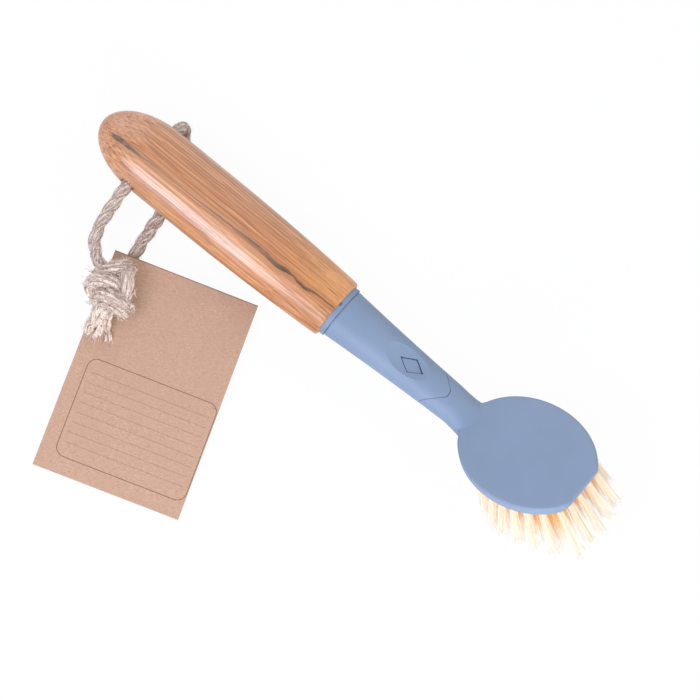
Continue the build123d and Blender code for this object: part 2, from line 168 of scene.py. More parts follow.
world = bpy.data.worlds.new("white_sky")
world.use_nodes = True
world.node_tree.nodes.clear()
sky = Signal(world.node_tree)
seen = sky.node("LightPath", output="Is Camera Ray")
for ray in ("Is Glossy Ray", "Is Transmission Ray"):
    seen = seen.maths("MAXIMUM", sky.node("LightPath", output=ray))
sky_level = seen * (1 - sky_strength) + sky_strength
sky.node("OutputWorld", {"Surface": sky.node("Background", {"Color": shown_white, "Strength": sky_level})})
bpy.context.scene.world = world
bpy.context.scene.view_settings.view_transform = "Standard"

floor_mesh = bpy.data.meshes.new("table_top")
floor_corners = [(x * floor_reach, y * floor_reach, 0) for x, y in ((-1, -1), (1, -1), (1, 1), (-1, 1))]
floor_mesh.from_pydata(floor_corners, [], [(0, 1, 2, 3)])
table_top = bpy.data.objects.new("table_top", floor_mesh)
bpy.context.scene.collection.objects.link(table_top)
floor_material, start = start_material("white_table")
matt = start.node("BsdfDiffuse", {"Color": floor_colour})
white = start.node("Emission", {"Color": shown_white, "Strength": 1.0})
seen = start.node("LightPath", output="Is Camera Ray")
floor_shader = start.node("MixShader", {0: seen * floor_white_share, 1: matt, 2: white})
start.node("OutputMaterial", {"Surface": floor_shader})
floor_mesh.materials.append(floor_material)

for name, size, power, place, tint in lamps:
    lamp_data = bpy.data.lights.new(name, "AREA")
    lamp_data.shape = "RECTANGLE"
    lamp_data.size, lamp_data.size_y = size
    lamp_data.energy = power
    lamp_data.color = tint
    lamp = bpy.data.objects.new(name, lamp_data)
    back = place.normalized()
    side = (Vector((1, 0, 0)) - back * back.x).normalized()
    turn = Matrix((side, back.cross(side), back)).transposed().to_4x4()
    lamp.matrix_world = Matrix.Translation(place) @ turn
    bpy.context.scene.collection.objects.link(lamp)


# Hemp cord: three loosely laid strands of pale hemp, 5 mm thick. It runs through the cross hole of
# the grip; its two free stretches meet in the knot, and the right one passes under the grip and
# up through the card's hole.
cord_diameter = 0.005
card_joint = next(joint for joint in frame["joints"] if joint["child"] == "tag")
card_place = Vector(card_joint["pos_m"])
card_from_cord_hole = 0.02115
cord_hole_x = card_place.x - card_from_cord_hole
hole_height = 0.01351
hole_straight = 0.004
seat_place = 0.012417
straight_end = 0.017117
left_route = (
    (0.0, -seat_place, hole_height),
    (0.0, -straight_end, hole_height),
    (0.0016, -0.0275, 0.0141),
    (0.0028, -0.0358, 0.0139),
    (0.0058, -0.0422, 0.0136),
    (0.0113, -0.0464, 0.0136),
    (0.0172, -0.0484, 0.0142),
)
right_route = (
    (0.0, seat_place, hole_height),
    (0.0, straight_end, hole_height),
    (0.0006, 0.0205, 0.0102),
    (0.0022, 0.0206, 0.0058),
    (0.0042, 0.0172, 0.0026),
    (0.0080, 0.0102, 0.0025),
    (0.0126, 0.0016, 0.0025),
    (0.0160, -0.0082, 0.0025),
    (0.0174, -0.0180, 0.0025),
    (0.0186, -0.0274, 0.0025),
    (0.0208, -0.0355, 0.0025),
    (0.0216, -0.0387, 0.0052),
    (0.0213, -0.0396, 0.0096),
    (0.0200, -0.0428, 0.0122),
    (0.0184, -0.0471, 0.0126),
)
hole_route = [(0, side, hole_height) for side in (-seat_place, -hole_straight, hole_straight, seat_place)]
route_order = 3
route_fineness = 24
strand_count = 3
strand_shares = (0.6, 0.43, 0.1)
lay_length = 0.021
loose_waves = (0.0031, 0.0047)
loose_offset = 0.06
loose_thickness = 0.04
table_clearance = 0.00004
yarn_count = 6
yarn_lay_length = -0.030
turn_between_routes = 1.3
ring_step = 0.0004
ring_sides = 20
ring_guide = (0.3, 0.2, 0.93)
chance = np.random.default_rng(7)


def smooth_line(route, step):
    """Points at even steps along the smooth curve that a route's points steer."""
    curve = bpy.data.curves.new("route", "CURVE")
    curve.dimensions = "3D"
    curve.resolution_u = route_fineness
    spline = curve.splines.new("NURBS")
    spline.points.add(len(route) - 1)
    for point, place in zip(spline.points, route):
        point.co = (cord_hole_x + place[0], place[1], place[2], 1)
    spline.order_u = route_order
    spline.use_endpoint_u = True
    holder = bpy.data.objects.new("route", curve)
    mesh = bpy.data.meshes.new_from_object(holder)
    line = np.array([vertex.co for vertex in mesh.vertices])
    bpy.data.objects.remove(holder)
    lengths = np.concatenate(([0], np.cumsum(np.linalg.norm(np.diff(line, axis=0), axis=1))))
    along = np.linspace(0, lengths[-1], round(lengths[-1] / step) + 1)
    return np.column_stack([np.interp(along, lengths, line[:, axis]) for axis in range(3)]), along


def unit(vectors):
    """The vectors at a length of 1."""
    return vectors / np.linalg.norm(vectors, axis=-1, keepdims=True)


def carried_frames(line):
    """Two directions square to the line at each of its points, carried along it without twist."""
    tangents = unit(np.gradient(line, axis=0))
    normal = np.cross(tangents[0], ring_guide)
    normals = []
    for tangent in tangents:
        normal = unit(normal - tangent * (normal @ tangent))
        normals.append(normal)
    normals = np.array(normals)
    return tangents, normals, np.cross(tangents, normals)


def tube_faces(first, rings, sides):
    """The quads of a tube of rings whose points start at the index given, with both ends closed."""
    faces = []
    for ring in range(rings - 1):
        low = first + ring * sides
        for side in range(sides):
            after = (side + 1) % sides
            faces.append((low + side, low + after, low + sides + after, low + sides + side))
    faces.append(tuple(range(first + sides - 1, first - 1, -1)))
    last = first + (rings - 1) * sides
    faces.append(tuple(range(last, last + sides)))
    return faces


def make_piece(name, points, faces, material, body):
    """A smooth-shaded mesh piece that rides on a body."""
    mesh = bpy.data.meshes.new(name)
    mesh.from_pydata([tuple(point) for point in points], [], faces)
    mesh.shade_smooth()
    mesh.materials.append(material)
    piece = bpy.data.objects.new(name, mesh)
    bpy.context.scene.collection.objects.link(piece)
    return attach(piece, body)


def spread_over(piece, layer_name, places):
    """A UV layer with a place for each of the piece's points."""
    layer = piece.data.uv_layers.new(name=layer_name)
    for loop in piece.data.loops:
        layer.data[loop.index].uv = places[loop.vertex_index]


def laid_strands(line, along, diameter, lay, phase, shares):
    """Rings of the strands of a laid rope about a line, each lumpy with its own twisted yarns."""
    thickness_share, offset_share, relief = shares
    tangents, normals, sides = carried_frames(line)
    turn = np.linspace(0, math.tau, ring_sides, endpoint=False)
    loose = np.sin(along / loose_waves[0] + phase) * np.sin(along / loose_waves[1] + 2 * phase)
    strands = []
    for strand in range(strand_count):
        angle = phase + math.tau * strand / strand_count + math.tau * along / lay
        reach = diameter * offset_share / 2 * (1 + loose_offset * loose)
        centre = line + reach[:, None] * (
            np.cos(angle)[:, None] * normals + np.sin(angle)[:, None] * sides
        )
        around = turn[None, :] + angle[:, None]
        yarn = np.cos(yarn_count * (turn[None, :] - math.tau * along[:, None] / yarn_lay_length))
        radius = diameter * thickness_share / 2 * (1 + relief * yarn + loose_thickness * loose[:, None])
        ring = centre[:, None, :] + radius[:, :, None] * (
            np.cos(around)[:, :, None] * normals[:, None, :] + np.sin(around)[:, :, None] * sides[:, None, :]
        )
        strands.append(ring)
    return strands


def rope_piece(name, routes, material, diameter=cord_diameter, lay=lay_length, shares=strand_shares):
    """One mesh of laid rope along one or more routes, with its lines."""
    points, faces, spread, lines = [], [], [], []
    for number, route in enumerate(routes):
        line, along = smooth_line(route, ring_step)
        lines.append(line)
        for strand in laid_strands(line, along, diameter, lay, turn_between_routes * number, shares):
            faces += tube_faces(len(points), len(line), ring_sides)
            strand[:, :, 2] = np.maximum(strand[:, :, 2], table_clearance)
            points += list(strand.reshape(-1, 3))
            around = np.tile(np.linspace(0, 1, ring_sides, endpoint=False), len(line))
            spread += list(zip(np.repeat(along, ring_sides) / diameter, around))
    piece = make_piece(name, points, faces, material, "handle")
    spread_over(piece, "lay", spread)
    return piece, lines


dark_fibre, pale_fibre = (0.37, 0.255, 0.21), (0.93, 0.78, 0.68)
warm_fibre = (0.53, 0.39, 0.34)
valley_shade = (0.28, 0.19, 0.16)
fleck_shade = (0.13, 0.08, 0.06)
streaks_along, streaks_around = 3.0, 24
hemp, start = start_material("hemp_fibre")
place = start.node("TexCoord", output="Object")
lay_along, lay_around, _ = start.node("UVMap", settings={"uv_map": "lay"}).axes()
yarn_turn = (lay_around - lay_along * (cord_diameter / yarn_lay_length)) * (math.tau * yarn_count)
valley = 1 - yarn_turn.maths("COSINE").between(-1.0, 0.2)
streak_turn = yarn_turn * (streaks_around / math.tau / yarn_count)
stretched = start.node("CombineXYZ", {"X": lay_along * streaks_along, "Y": streak_turn})
streaks = start.node("TexNoise", {"Vector": stretched, "Scale": 1.0, "Detail": 4.0, "Roughness": 0.7})
mottle = start.node("TexNoise", {"Vector": place, "Scale": 520.0, "Detail": 3.0, "Roughness": 0.65})
flecks = start.node("TexNoise", {"Vector": place, "Scale": 1300.0, "Detail": 1.0})
straw = streaks.between(0.34, 0.54).mixed(dark_fibre, pale_fibre)
straw = (mottle.between(0.46, 0.68) * 0.6).mixed(straw, warm_fibre)
# Painted shade: the valleys between the yarns are darkened.
straw = (valley * 0.55).mixed(straw, valley_shade)
straw = flecks.between(0.64, 0.7).mixed(straw, fleck_shade)
hair = start.node("Bump", {"Height": streaks - valley * 0.3, "Strength": 0.85, "Distance": 0.0006})
fibre = start.node("BsdfPrincipled", {
    "Base Color": straw,
    "Roughness": 0.85,
    "Sheen Weight": 0.12,
    "Normal": hair,
})
start.node("OutputMaterial", {"Surface": fibre})

rope_left, (left_line,) = rope_piece("hemp_cord_left", [left_route], hemp)
rope_right, (right_line,) = rope_piece("hemp_cord_right", [right_route], hemp)
rope_in_hole, _ = rope_piece("hemp_cord_in_hole", [hole_route], hemp)
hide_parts("cord_left")
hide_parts("cord_right")
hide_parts("cord_in_handle")

# Knot: both ends of the cord tied together. One turn stands out in a bulge on the left and crosses the
# front, two arch over from the card's hole to the left and down the right side, and two close it below.
# Places are in metres across, up and out of the picture from the knot's middle.
knot_middle = Vector((cord_hole_x + 0.0233, -0.053, 0.0142))
knot_routes = (
    (
        (-0.0045, -0.0010, -0.0018),
        (-0.0071, 0.0006, 0.0002),
        (-0.0075, 0.0030, 0.0014),
        (-0.0053, 0.0044, 0.0028),
        (-0.0017, 0.0044, 0.0042),
        (0.0016, 0.0035, 0.0034),
        (0.0043, 0.0016, 0.0010),
        (0.0055, 0.0000, -0.0016),
    ),
    (
        (0.0065, 0.0092, -0.0042),
        (0.0053, 0.0098, -0.0006),
        (0.0035, 0.0095, 0.0014),
        (0.0011, 0.0087, 0.0022),
        (-0.0011, 0.0078, 0.0012),
        (-0.0035, 0.0076, -0.0004),
        (-0.0049, 0.0092, -0.0008),
    ),
    (
        (0.0069, 0.0086, -0.0042),
        (0.0065, 0.0082, -0.0002),
        (0.0064, 0.0060, 0.0020),
        (0.0067, 0.0032, 0.0026),
        (0.0065, 0.0004, 0.0020),
        (0.0053, -0.0022, 0.0002),
        (0.0039, -0.0038, -0.0018),
    ),
    (
        (-0.0057, -0.0024, -0.0022),
        (-0.0043, -0.0016, 0.0006),
        (-0.0019, -0.0012, 0.0032),
        (0.0009, -0.0018, 0.0042),
        (0.0039, -0.0031, 0.0030),
        (0.0060, -0.0048, 0.0002),
        (0.0063, -0.0060, -0.0026),
    ),
    (
        (-0.0050, -0.0048, -0.0020),
        (-0.0031, -0.0044, 0.0008),
        (-0.0005, -0.0046, 0.0028),
        (0.0023, -0.0058, 0.0026),
        (0.0045, -0.0073, 0.0004),
        (0.0051, -0.0080, -0.0022),
    ),
)


def from_picture(places, middle):
    """Places counted across, up and out of the picture, as places in a route from the cross hole."""
    turned = [
        middle + camera_right * across + camera_up * up + camera_back * out
        for across, up, out in places
    ]
    return [(place.x - cord_hole_x, place.y, place.z) for place in turned]


knot_rope = 0.0058
knot_lay = 0.034
knot_shares = (0.7, 0.33, 0.1)
knot_lines_in = [from_picture(route, knot_middle) for route in knot_routes]
knot, knot_lines = rope_piece("hemp_knot", knot_lines_in, hemp, knot_rope, knot_lay, knot_shares)
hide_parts("cord_knot")

# Knot's core: the cord's hidden turns pack the middle of the knot. They are pulled tight, so that
# one lumpy body of hemp stands for them.
core_half = (0.0068, 0.0086, 0.0036)
large_lump, small_lump = 0.05, 0.03
core_rings, core_sides = 24, 36
rings_per_diameter = 5
core_places = []
for ring in range(core_rings):
    tilt = math.pi * (ring + 0.5) / core_rings
    for side in range(core_sides):
        turn = math.tau * side / core_sides
        lump = 1 + large_lump * math.sin(5 * turn + 4 * tilt) + small_lump * math.sin(9 * tilt - 3 * turn)
        core_places.append((
            core_half[0] * lump * math.sin(tilt) * math.cos(turn),
            core_half[1] * lump * math.cos(tilt),
            core_half[2] * lump * math.sin(tilt) * math.sin(turn),
        ))
core_points = [(cord_hole_x + x, y, z) for x, y, z in from_picture(core_places, knot_middle)]
core_faces = tube_faces(0, core_rings, core_sides)
knot_core = make_piece("hemp_knot_core", core_points, core_faces, hemp, "handle")
core_spots = [(ring, side) for ring in range(core_rings) for side in range(core_sides)]
core_spread = [(ring / rings_per_diameter, side / core_sides) for ring, side in core_spots]
spread_over(knot_core, "lay", core_spread)

# Frayed ends: below the knot both ends of the cord come undone into clumps of curly yarns that still
# hold together, with loose fibres among them.
tail_start = (-0.0026, -0.0056, 0.0010)
tail_end = (-0.0066, -0.0188, -0.0036)
tail_half_width = 0.0034
tail_clumps = 15
clump_rise = 0.6
clump_root_spread = 0.8
clump_spreads = (0.3, 0.8)
clump_lengths = (0.74, 1.04)
clump_edge_loss = 0.12
clump_bend = 0.0014
clump_radius = 0.0007
shortest_thread = 0.86
thread_bend = 0.0003
thread_phase = 0.25
tail_waves = (4.5, 0.4)
yarn_radii = (0.0005, 0.00034)
fibre_radii = (0.00011, 0.00006)
thread_guide = (0.31, 0.87, 0.38)
clump_seed = 11


def tapered_threads(
    name, roots, reaches, bends, radii, segments, sides, material, slot, body, waves=(2, 0.35, 0)
):
    """Fine bent threads, each a tapered tube from its root along its reach, with waves across it."""
    shares = np.linspace(0, 1, segments + 1)
    turn = np.linspace(0, math.tau, sides, endpoint=False)
    aside = unit(np.cross(reaches, thread_guide))
    over = unit(np.cross(reaches, aside))
    half_waves, wave_share, phases = waves
    wave = np.sin(shares[None, :] * math.pi * half_waves + np.zeros(len(roots))[:, None] + phases)
    wave = wave - wave[:, :1]
    centres = (
        roots[:, None, :]
        + reaches[:, None, :] * shares[None, :, None]
        + bends[:, None, :] * (shares**2)[None, :, None]
        + bends[:, None, [1, 2, 0]] * (wave * wave_share)[:, :, None]
    )
    radius = radii[0] + (radii[1] - radii[0]) * shares
    ring = np.cos(turn)[None, :, None] * aside[:, None, :] + np.sin(turn)[None, :, None] * over[:, None, :]
    points = centres[:, :, None, :] + radius[None, :, None, None] * ring[:, None, :, :]
    faces = []
    each = (segments + 1) * sides
    for thread in range(len(roots)):
        faces += tube_faces(thread * each, segments + 1, sides)
    return make_piece(name, points.reshape(-1, 3), faces, material, body)


def tail_threads(name, clump_size, radii, looseness, longer, segments, sides):
    """Clumps of threads side by side at the knot and apart at their tips."""
    first, last = (
        np.array(place) + (cord_hole_x, 0, 0) for place in from_picture((tail_start, tail_end), knot_middle)
    )
    axis = last - first
    aside = unit(np.cross(axis, camera_back))
    over = unit(np.cross(aside, axis))
    clump_chance = np.random.default_rng(clump_seed)
    roots, reaches, bends, phases = [], [], [], []
    for clump in range(tail_clumps):
        across = -1 + 2 * (clump + 0.5) / tail_clumps
        level = clump_chance.uniform(-clump_rise, clump_rise)
        out = (aside * across + over * level) * tail_half_width
        length = clump_chance.uniform(*clump_lengths) - clump_edge_loss * abs(across)
        reach = axis * length + out * clump_chance.uniform(*clump_spreads)
        bend = clump_chance.normal(0, clump_bend, 3)
        phase = clump_chance.uniform(0, math.tau)
        for _ in range(clump_size):
            turn, off = chance.uniform(0, math.tau), math.sqrt(chance.uniform())
            near = (aside * math.cos(turn) + over * math.sin(turn)) * clump_radius * off
            roots.append(first + out * clump_root_spread + near)
            reaches.append(reach * chance.uniform(shortest_thread, longer) + near * looseness)
            bends.append(bend + chance.normal(0, thread_bend * looseness, 3))
            phases.append([phase + chance.normal(0, thread_phase * looseness)])
    shape = (np.array(roots), np.array(reaches), np.array(bends))
    return tapered_threads(
        name, *shape, radii, segments, sides, hemp, "hemp", "handle", waves=(*tail_waves, np.array(phases))
    )


tails = tail_threads(
    "hemp_frayed_yarns", clump_size=10, radii=yarn_radii, looseness=0.8, longer=1.0, segments=14, sides=7
)
tail_brush = tail_threads(
    "hemp_frayed_fibres", clump_size=22, radii=fibre_radii, looseness=1.8, longer=1.12, segments=10, sides=3
)
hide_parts("cord_tails")

# Fuzz: hemp's short hairs stand off the cord all along it. The tying rubs up more of them, so they
# are thickest on the knot.
fuzz_hair = 0.0016
fuzz_radii = (0.00004, 0.000025)
fuzz_per_metre = 14000
cord_share, knot_share = 0.5, 1.8
fuzz_root_share = 0.46
fuzz_rise = (0.2, 0.9)
fuzz_lean = 0.8
fuzz_scatter = 0.3
fuzz_bend = 0.0004
fuzz_table_gap = 0.0005
length_shares = (0.4, 1.0)


def spot_on(line, frames, radius):
    """A random spot at this radius from a rope's line, with the directions along and out there."""
    tangents, normals, sides = frames
    place, turn = chance.integers(len(line)), chance.uniform(0, math.tau)
    out = normals[place] * math.cos(turn) + sides[place] * math.sin(turn)
    return line[place] + out * radius, tangents[place], out


roots, reaches, bends = [], [], []
hairy_lines = [(left_line, cord_share), (right_line, cord_share)]
hairy_lines += [(line, knot_share) for line in knot_lines]
for line, share in hairy_lines:
    frames = carried_frames(line)
    for _ in range(round(len(line) * ring_step * fuzz_per_metre * share)):
        root, along, out = spot_on(line, frames, cord_diameter * fuzz_root_share)
        outwards = out * chance.uniform(*fuzz_rise)
        onwards = along * chance.normal(0, fuzz_lean)
        direction = unit(outwards + onwards + chance.normal(0, fuzz_scatter, 3))
        roots.append(root)
        reaches.append(direction * fuzz_hair * chance.uniform(*length_shares))
        bends.append(chance.normal(0, fuzz_bend, 3))
roots, reaches, bends = np.array(roots), np.array(reaches), np.array(bends)
above = roots[:, 2] + np.minimum(reaches[:, 2] + bends[:, 2], 0) > fuzz_table_gap
fuzz = (roots[above], reaches[above], bends[above])
tapered_threads(
    "hemp_fuzz", *fuzz, fuzz_radii, segments=3, sides=3, material=hemp, slot="hemp", body="handle"
)

# Loose fibres on the knot: the rope's outer hemp fibres, rubbed loose by the tying. They lie along
# the rope, lift from it a little and curl.
lifted_fibre = 0.0034
lifted_radii = (0.00017, 0.00008)
lifted_per_metre = 9000
lifted_root_share = 0.48
lifted_slope = 0.28
lifted_scatter = 0.14
lifted_bend = 0.0007
roots, reaches, bends = [], [], []
for line in knot_lines:
    frames = carried_frames(line)
    for _ in range(round(len(line) * ring_step * lifted_per_metre)):
        root, along, out = spot_on(line, frames, knot_rope * lifted_root_share)
        onwards = along * chance.choice((-1, 1))
        outwards = out * chance.uniform(0.0, lifted_slope)
        direction = unit(onwards + outwards + chance.normal(0, lifted_scatter, 3))
        roots.append(root)
        reaches.append(direction * lifted_fibre * chance.uniform(*length_shares))
        bends.append(chance.normal(0, lifted_bend, 3))
lifted = (np.array(roots), np.array(reaches), np.array(bends))
tapered_threads(
    "hemp_knot_fibres", *lifted, lifted_radii, segments=6, sides=4, material=hemp, slot="hemp", body="handle"
)

# Free stretches: each is listed beside pieces of the cord, the left one beside the knot, both frayed
# ends and the cord in the hole, and the right one beside the same knot. The loop works out each
# stretch's length and every fifth point of its line, and nothing uses them.
free_stretches = (
    (rope_left, left_line, [knot, knot_core, tails, tail_brush, rope_in_hole]),
    (rope_right, right_line, [knot, knot_core]),
)
for rope, line, carried in free_stretches:
    length = float(np.linalg.norm(np.diff(line, axis=0), axis=1).sum())
    [tuple(point) for point in line[::5]] + [tuple(line[-1])]

# Card: a blank swing tag of uncoated kraft board, punched near one corner for the cord. A thin
# printed frame with plain ruled lines stands on its lower half.
card_width = 0.060
card_length = 0.0917
card_thickness = 0.0006
card_hole_radius = 0.004
card_hole_from_side = 0.0066
card_hole_from_top = 0.0055
card_hole_sides = 48
card_edge_round = 0.00006
card_turn = math.radians(20.1)
card_slope = math.asin(card_place.z / (card_length - card_hole_from_top))

outline = bpy.data.curves.new("card", "CURVE")
outline.dimensions = "2D"
outline.fill_mode = "BOTH"
outline.extrude = card_thickness / 2 - card_edge_round
outline.bevel_depth = card_edge_round
outline.bevel_resolution = 1
left_edge, top_edge = -card_hole_from_side, card_hole_from_top
corners = [
    (left_edge, top_edge),
    (left_edge, top_edge - card_length),
    (left_edge + card_width, top_edge - card_length),
    (left_edge + card_width, top_edge),
]
hole_turns = [math.tau * side / card_hole_sides for side in range(card_hole_sides)]
hole_corners = [
    (card_hole_radius * math.cos(turn), card_hole_radius * math.sin(turn)) for turn in hole_turns
]
for loop in (corners, hole_corners):
    spline = outline.splines.new("POLY")
    spline.points.add(len(loop) - 1)
    for point, corner in zip(spline.points, loop):
        point.co = (*corner, 0, 1)
    spline.use_cyclic_u = True
holder = bpy.data.objects.new("card", outline)
card_mesh = bpy.data.meshes.new_from_object(holder)
bpy.data.objects.remove(holder)
card_mesh.name = "kraft_card"
card = bpy.data.objects.new("kraft_card", card_mesh)
bpy.context.scene.collection.objects.link(card)
card.matrix_world = (
    Matrix.Translation(card_place)
    @ Matrix.Rotation(card_turn, 4, "Z")
    @ Matrix.Rotation(card_slope, 4, "X")
    @ Matrix.Translation((0, 0, card_thickness / 2))
)

dark_board, pale_board = (0.43, 0.265, 0.185), (0.62, 0.395, 0.28)
board_cloud = (0.49, 0.31, 0.23)
board_speck = (0.3, 0.17, 0.11)
frame_ink = (0.1, 0.055, 0.04)
rule_ink = (0.13, 0.075, 0.05)
top_rim_tone = (0.14, 0.085, 0.06)
frame_middle = (0.0262, -0.0587)
frame_half = (0.0268, 0.0206)
frame_round = 0.004
line_half = 0.00017
rule_pitch = 0.0042
rule_edges = (0.00006, 0.00016)
rule_margins = (0.0022, 0.0021)
top_rim_edges = (0.0005, 0.0002)

kraft, start = start_material("kraft_board")
place = start.node("TexCoord", output="Object")
across, down, _ = place.axes()
box_x = (across - frame_middle[0]).maths("ABSOLUTE") - (frame_half[0] - frame_round)
box_y = (down - frame_middle[1]).maths("ABSOLUTE") - (frame_half[1] - frame_round)
out_x, out_y = box_x.maths("MAXIMUM", 0.0), box_y.maths("MAXIMUM", 0.0)
outside = (out_x * out_x + out_y * out_y).maths("SQRT")
inside = box_x.maths("MAXIMUM", box_y).maths("MINIMUM", 0.0)
edge = outside + inside - frame_round
frame_line = 1 - edge.maths("ABSOLUTE").between(line_half * 0.6, line_half * 1.4)
fibres = start.node("TexNoise", {
    "Vector": start.node("Mapping", {"Vector": place, "Scale": (1.0, 2.6, 1.0)}),
    "Scale": 900.0,
    "Detail": 4.0,
    "Roughness": 0.7,
})
clouds = start.node("TexNoise", {"Vector": place, "Scale": 60.0, "Detail": 3.0})
specks = start.node("TexVoronoi", {"Vector": place, "Scale": 420.0})
board = fibres.between(0.25, 0.75).mixed(dark_board, pale_board)
board = (clouds.between(0.3, 0.75) * 0.5).mixed(board, board_cloud)
board = (1 - specks.between(0.05, 0.11)).mixed(board, board_speck)
rule_place = (down - frame_middle[1]) / rule_pitch
rule_off = (rule_place.maths("FRACT") - 0.5).maths("ABSOLUTE") * rule_pitch
rules = (1 - rule_off.between(*rule_edges)) * (1 - edge.between(-rule_margins[0], -rule_margins[1]))
# A thin band along the top edge is darker.
top_rim_band = down.between(top_edge - top_rim_edges[0], top_edge - top_rim_edges[1])
printed = (frame_line * 0.75).mixed(board, frame_ink)
printed = (rules * 0.45).mixed(printed, rule_ink)
printed = (top_rim_band * 0.7).mixed(printed, top_rim_tone)
tooth = start.node("Bump", {"Height": fibres, "Strength": 0.25, "Distance": 0.0002})
board_shader = start.node("BsdfPrincipled", {"Base Color": printed, "Roughness": 0.9, "Normal": tooth})
start.node("OutputMaterial", {"Surface": board_shader})
card_mesh.materials.append(kraft)
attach(card, "tag")
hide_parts("swing_tag")

# Bamboo grip: turned and pressed bamboo strip, oiled to a soft gloss. Fine vessel lines run along
# it, placed in millimetres from its butt. A band along its middle is darkened with painted shade, and
# towards the collar its upper side is lightened with painted light and its lower side darkened with painted shade.
plate_tilt = math.radians(20)
plate_from_butt = Vector((0.211989, 0, 0.010745))
slide_axis = next(joint for joint in frame["joints"] if joint["child"] == "head")["axis"]
brush_pitch = math.atan2(slide_axis[2], slide_axis[0])
head_back = next(mount for mount in frame["record"]["mounts"] if mount["name"] == "head_back")
plate_centre = Vector(head_back["pos_m"])
brush_start = plate_centre - Matrix.Rotation(-brush_pitch, 3, "Y") @ plate_from_butt
millimetre = 0.001
grip_length = 119.0
middle_shade_edges = ((-5.5, -2.0), (4.0, 10.0))
collar_fade_start = 80.0
upper_edges = (-8.0, 2.0)
coat_fade = (60.0, 115.0)
grain_drift = (0.0, 1.6, 1.6)
dark_strip, pale_strip = (0.57, 0.236, 0.09), (0.71, 0.33, 0.142)
painted_middle_shade = (0.5, 0.16, 0.025)
dark_vessel, pale_vessel = (0.33, 0.118, 0.042), (0.83, 0.45, 0.215)
painted_collar_light, painted_collar_shade = (0.88, 0.44, 0.18), (0.36, 0.17, 0.085)
line_shade = (0.24, 0.09, 0.035)
pore_shade = (0.3, 0.12, 0.05)
dash_shade = (0.22, 0.09, 0.04)

bamboo, start = start_material("oiled_bamboo")
place = start.node("TexCoord", output="Object")
along_brush = start.node(
    "Mapping",
    {
        "Vector": place,
        "Location": brush_start,
        "Rotation": (0, -brush_pitch, 0),
        "Scale": (millimetre,) * 3,
    },
    {"vector_type": "TEXTURE"},
)
wander = start.node("TexNoise", {
    "Vector": start.node("Mapping", {"Vector": along_brush, "Scale": (0.035, 0.12, 0.12)}),
    "Scale": 1.0,
    "Detail": 2.0,
}, output="Color")
drifted = start.node("VectorMath", {0: wander, 1: (0.5, 0.5, 0.5)}, {"operation": "SUBTRACT"})
drifted = start.node("VectorMath", {0: drifted, 1: grain_drift}, {"operation": "MULTIPLY"})
grain_place = start.node("VectorMath", {0: along_brush, 1: drifted}, {"operation": "ADD"})


def grain(scale, detail=2.0, roughness=0.55):
    """Noise drawn out along the brush; the scale is in periods a millimetre."""
    stretched = start.node("Mapping", {"Vector": grain_place, "Scale": scale})
    sockets = {"Vector": stretched, "Scale": 1.0, "Detail": detail, "Roughness": roughness}
    return start.node("TexNoise", sockets)


strips = grain((0.004, 0.16, 0.16), 1.0)
vessels = grain((0.02, 1.35, 1.35), 3.0, 0.65)
lines = grain((0.014, 2.7, 2.7), 2.0, 0.5)
pores = grain((0.07, 3.4, 3.4), 2.0)
dashes = grain((0.13, 2.6, 2.6), 1.0)
length_place, side_place, top_place = along_brush.axes()
# Painted shade: a band along the middle of the grip is darkened.
middle_shade_share = side_place.between(*middle_shade_edges[0]) * (1 - side_place.between(*middle_shade_edges[1]))
tone = strips.between(0.32, 0.68).mixed(dark_strip, pale_strip)
tone = (middle_shade_share * 0.5).mixed(tone, painted_middle_shade)
tone = (0.1 + vessels.between(0.32, 0.6) * 0.9).mixed(dark_vessel, tone)
tone = (vessels.between(0.52, 0.75) * 0.5).mixed(tone, pale_vessel)
# Painted light and shade towards the collar: the upper side is lightened, the lower side darkened.
collar_share = length_place.between(collar_fade_start, grip_length)
upper_share = side_place.between(*upper_edges)
tone = (collar_share * upper_share * 0.5).mixed(tone, painted_collar_light)
tone = (collar_share * (1 - upper_share) * 0.3).mixed(tone, painted_collar_shade)
tone = ((1 - lines.between(0.34, 0.46)) * 0.6).mixed(tone, line_shade)
tone = ((1 - pores.between(0.3, 0.46)) * 0.35).mixed(tone, pore_shade)
tone = ((1 - dashes.between(0.24, 0.33)) * 0.45).mixed(tone, dash_shade)

# Streak: a dark line in the bamboo itself, which runs along the grip beside its middle. Stops along
# the grip, as shares of its length, give its line, its darkness and its width.
halo_shade = (0.36, 0.15, 0.06)
streak_shade = (0.055, 0.024, 0.012)
streak_half_width = 1.45
streak_wander = 0.9
streak_line_range = (-6.5, -2.5)
streak_line_stops = (
    (0.07, 0.4), (0.17, 0.2), (0.22, 0.33), (0.40, 0.4), (0.64, 0.61), (0.71, 0.56),
    (0.76, 0.43), (0.80, 0.58), (0.82, 0.65), (0.87, 0.45), (0.93, 0.75), (1.0, 0.8),
)
streak_dark_stops = (
    (0.05, 0.0), (0.075, 1.0), (0.14, 0.9), (0.2, 0.5), (0.3, 0.42), (0.45, 0.48),
    (0.57, 0.6), (0.66, 0.85), (0.8, 1.0), (0.84, 0.75), (0.885, 1.0), (0.93, 0.7), (1.0, 0.5),
)
streak_width_stops = (
    (0.05, 0.4), (0.09, 1.0), (0.14, 0.75), (0.2, 0.3), (0.4, 0.22),
    (0.6, 0.45), (0.7, 0.75), (0.79, 0.9), (0.82, 0.35), (0.885, 0.65), (0.93, 0.35), (1.0, 0.3),
)


def along_grip(stops):
    """A value that follows its stops along the grip, which are shares of its length and of 1."""
    ramp = [(place, (value, value, value)) for place, value in stops]
    return start.node("ValToRGB", {"Fac": length_place * (1 / grip_length)}, {"stops": ramp})


